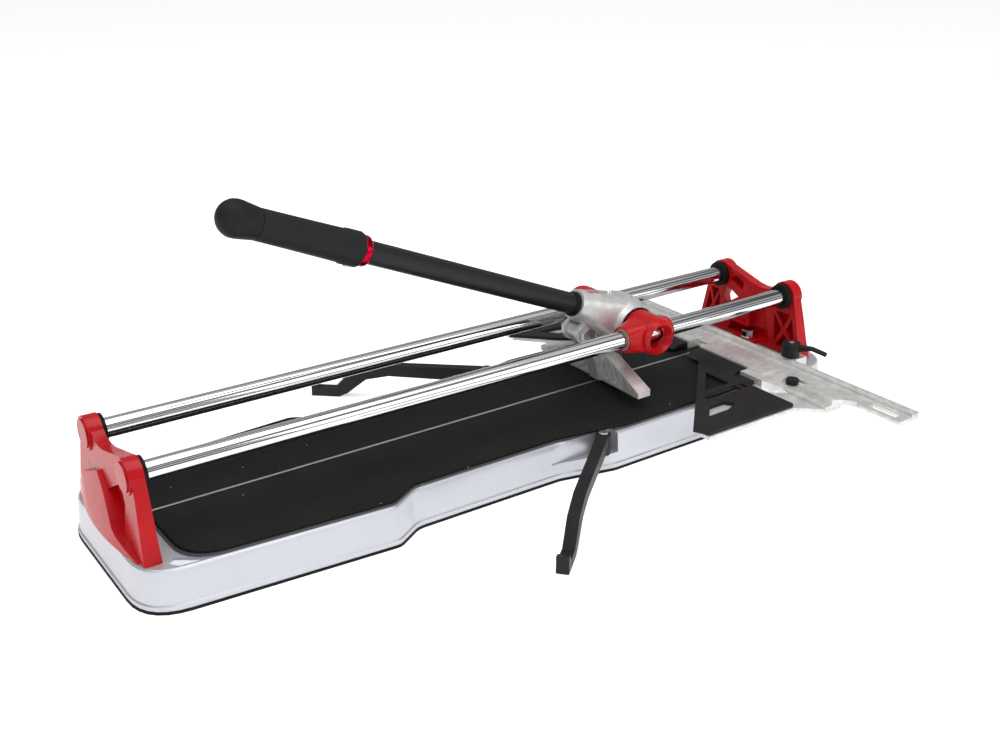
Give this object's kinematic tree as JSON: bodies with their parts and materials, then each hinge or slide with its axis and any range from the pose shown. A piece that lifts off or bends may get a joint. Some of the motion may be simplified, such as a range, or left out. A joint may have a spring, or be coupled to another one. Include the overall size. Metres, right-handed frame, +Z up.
{
  "type": "manual tile cutter",
  "caption": "Long table-top tile cutter: two chrome rails between red end towers carry a sliding lever head with scoring wheel and breaking foot over a rubber-topped table with a far stop.",
  "frame": {"origin": "centre of the underside of the whole cutter, on the plane it stands on", "axes": "+X along the rails away from the handle's end, +Y across the table towards the rear side, +Z up"},
  "size_m": [0.9718, 0.6078, 0.367],
  "materials": {
    "silver": "satin",
    "cast_aluminium": "cast, tumbled",
    "red_gloss": "gloss red enamel",
    "chrome": "polished",
    "steel": "bright zinc",
    "black_plastic": "matt moulded",
    "rubber": "matt",
    "rubber_mat": "fine-grained matt",
    "grey_plastic": "grey bearing plastic",
    "dark_deck": "dark grey paint",
    "black_tube": "satin black"
  },
  "bodies": {
    "base": {"rubber_edge": "rubber", "base_tray": "silver", "deck_plate": "dark_deck", "mat_front": "rubber_mat", "mat_rear": "rubber_mat", "breaking_rib": "steel", "near_tower": "red_gloss", "far_tower": "red_gloss", "near_tower_bolt": "chrome", "far_tower_bolt": "chrome", "rail_front": "chrome", "rail_rear": "chrome", "near_collar_front": "rubber", "near_collar_rear": "rubber", "far_bumper_front": "rubber", "far_bumper_rear": "rubber", "v_plate_front": "black_plastic", "v_plate_rear": "black_plastic", "stop_casting": "cast_aluminium", "stop_knob": "black_plastic", "cam_stud": "steel", "arm_pin_front": "chrome", "arm_pin_rear": "chrome"},
    "carriage": {"cover_front": "red_gloss", "cover_rear": "red_gloss", "bushing_front_near": "grey_plastic", "bushing_front_far": "grey_plastic", "bushing_rear_near": "grey_plastic", "bushing_rear_far": "grey_plastic", "pivot_seal_front": "rubber", "pivot_seal_rear": "rubber", "carriage_axle": "steel"},
    "lever": {"lever_head": "cast_aluminium", "lever_tube": "black_tube", "tube_collar": "rubber", "grip_ball": "black_plastic", "grip_sleeve": "rubber", "grip_screw": "steel", "grip_ring": "red_gloss", "lever_cap": "red_gloss", "head_screw": "chrome", "wheel_holder": "steel", "wheel_pin": "steel", "breaker_bolt": "steel", "breaker_nut": "steel"},
    "wheel": {"scoring_wheel": "steel"},
    "breaker": {"breaker_foot": "cast_aluminium"},
    "ruler": {"ruler": "cast_aluminium"},
    "cam": {"cam_lever": "black_plastic"},
    "front_arm": {"arm_front": "black_plastic"},
    "rear_arm": {"arm_rear": "black_plastic"}
  },
  "joints": [
    {"name": "carriage_slide", "type": "slide", "parent": "base", "child": "carriage", "axis": [1, 0, 0], "range_m": [-0.562, 0.1]},
    {"name": "lever_hinge", "type": "hinge", "parent": "carriage", "child": "lever", "pos_m": [0.20015, 0.01813, 0.1294], "axis": [0, 1, 0], "range_deg": [-1.5, 35]},
    {"name": "wheel_spin", "type": "hinge", "parent": "lever", "child": "wheel", "pos_m": [0.20015, 0.01813, 0.072], "axis": [0, 1, 0], "continuous": true},
    {"name": "breaker_hinge", "type": "hinge", "parent": "lever", "child": "breaker", "pos_m": [0.13515, 0.01813, 0.1278], "axis": [0, 1, 0], "range_deg": [-4, 2.5]},
    {"name": "ruler_slide", "type": "slide", "parent": "base", "child": "ruler", "axis": [0, 1, 0], "range_m": [-0.05, 0.12]},
    {"name": "cam_hinge", "type": "hinge", "parent": "base", "child": "cam", "pos_m": [0.40865, -0.09187, 0.075], "axis": [0, 0, 1], "range_deg": [-95, 15]},
    {"name": "front_arm_swing", "type": "hinge", "parent": "base", "child": "front_arm", "pos_m": [0.07915, -0.10487, 0.04], "axis": [0, 0, 1], "range_deg": [-38, 49]},
    {"name": "rear_arm_swing", "type": "hinge", "parent": "base", "child": "rear_arm", "pos_m": [0.07915, 0.14113, 0.04], "axis": [0, 0, 1], "range_deg": [-49, 38]}
  ]
}
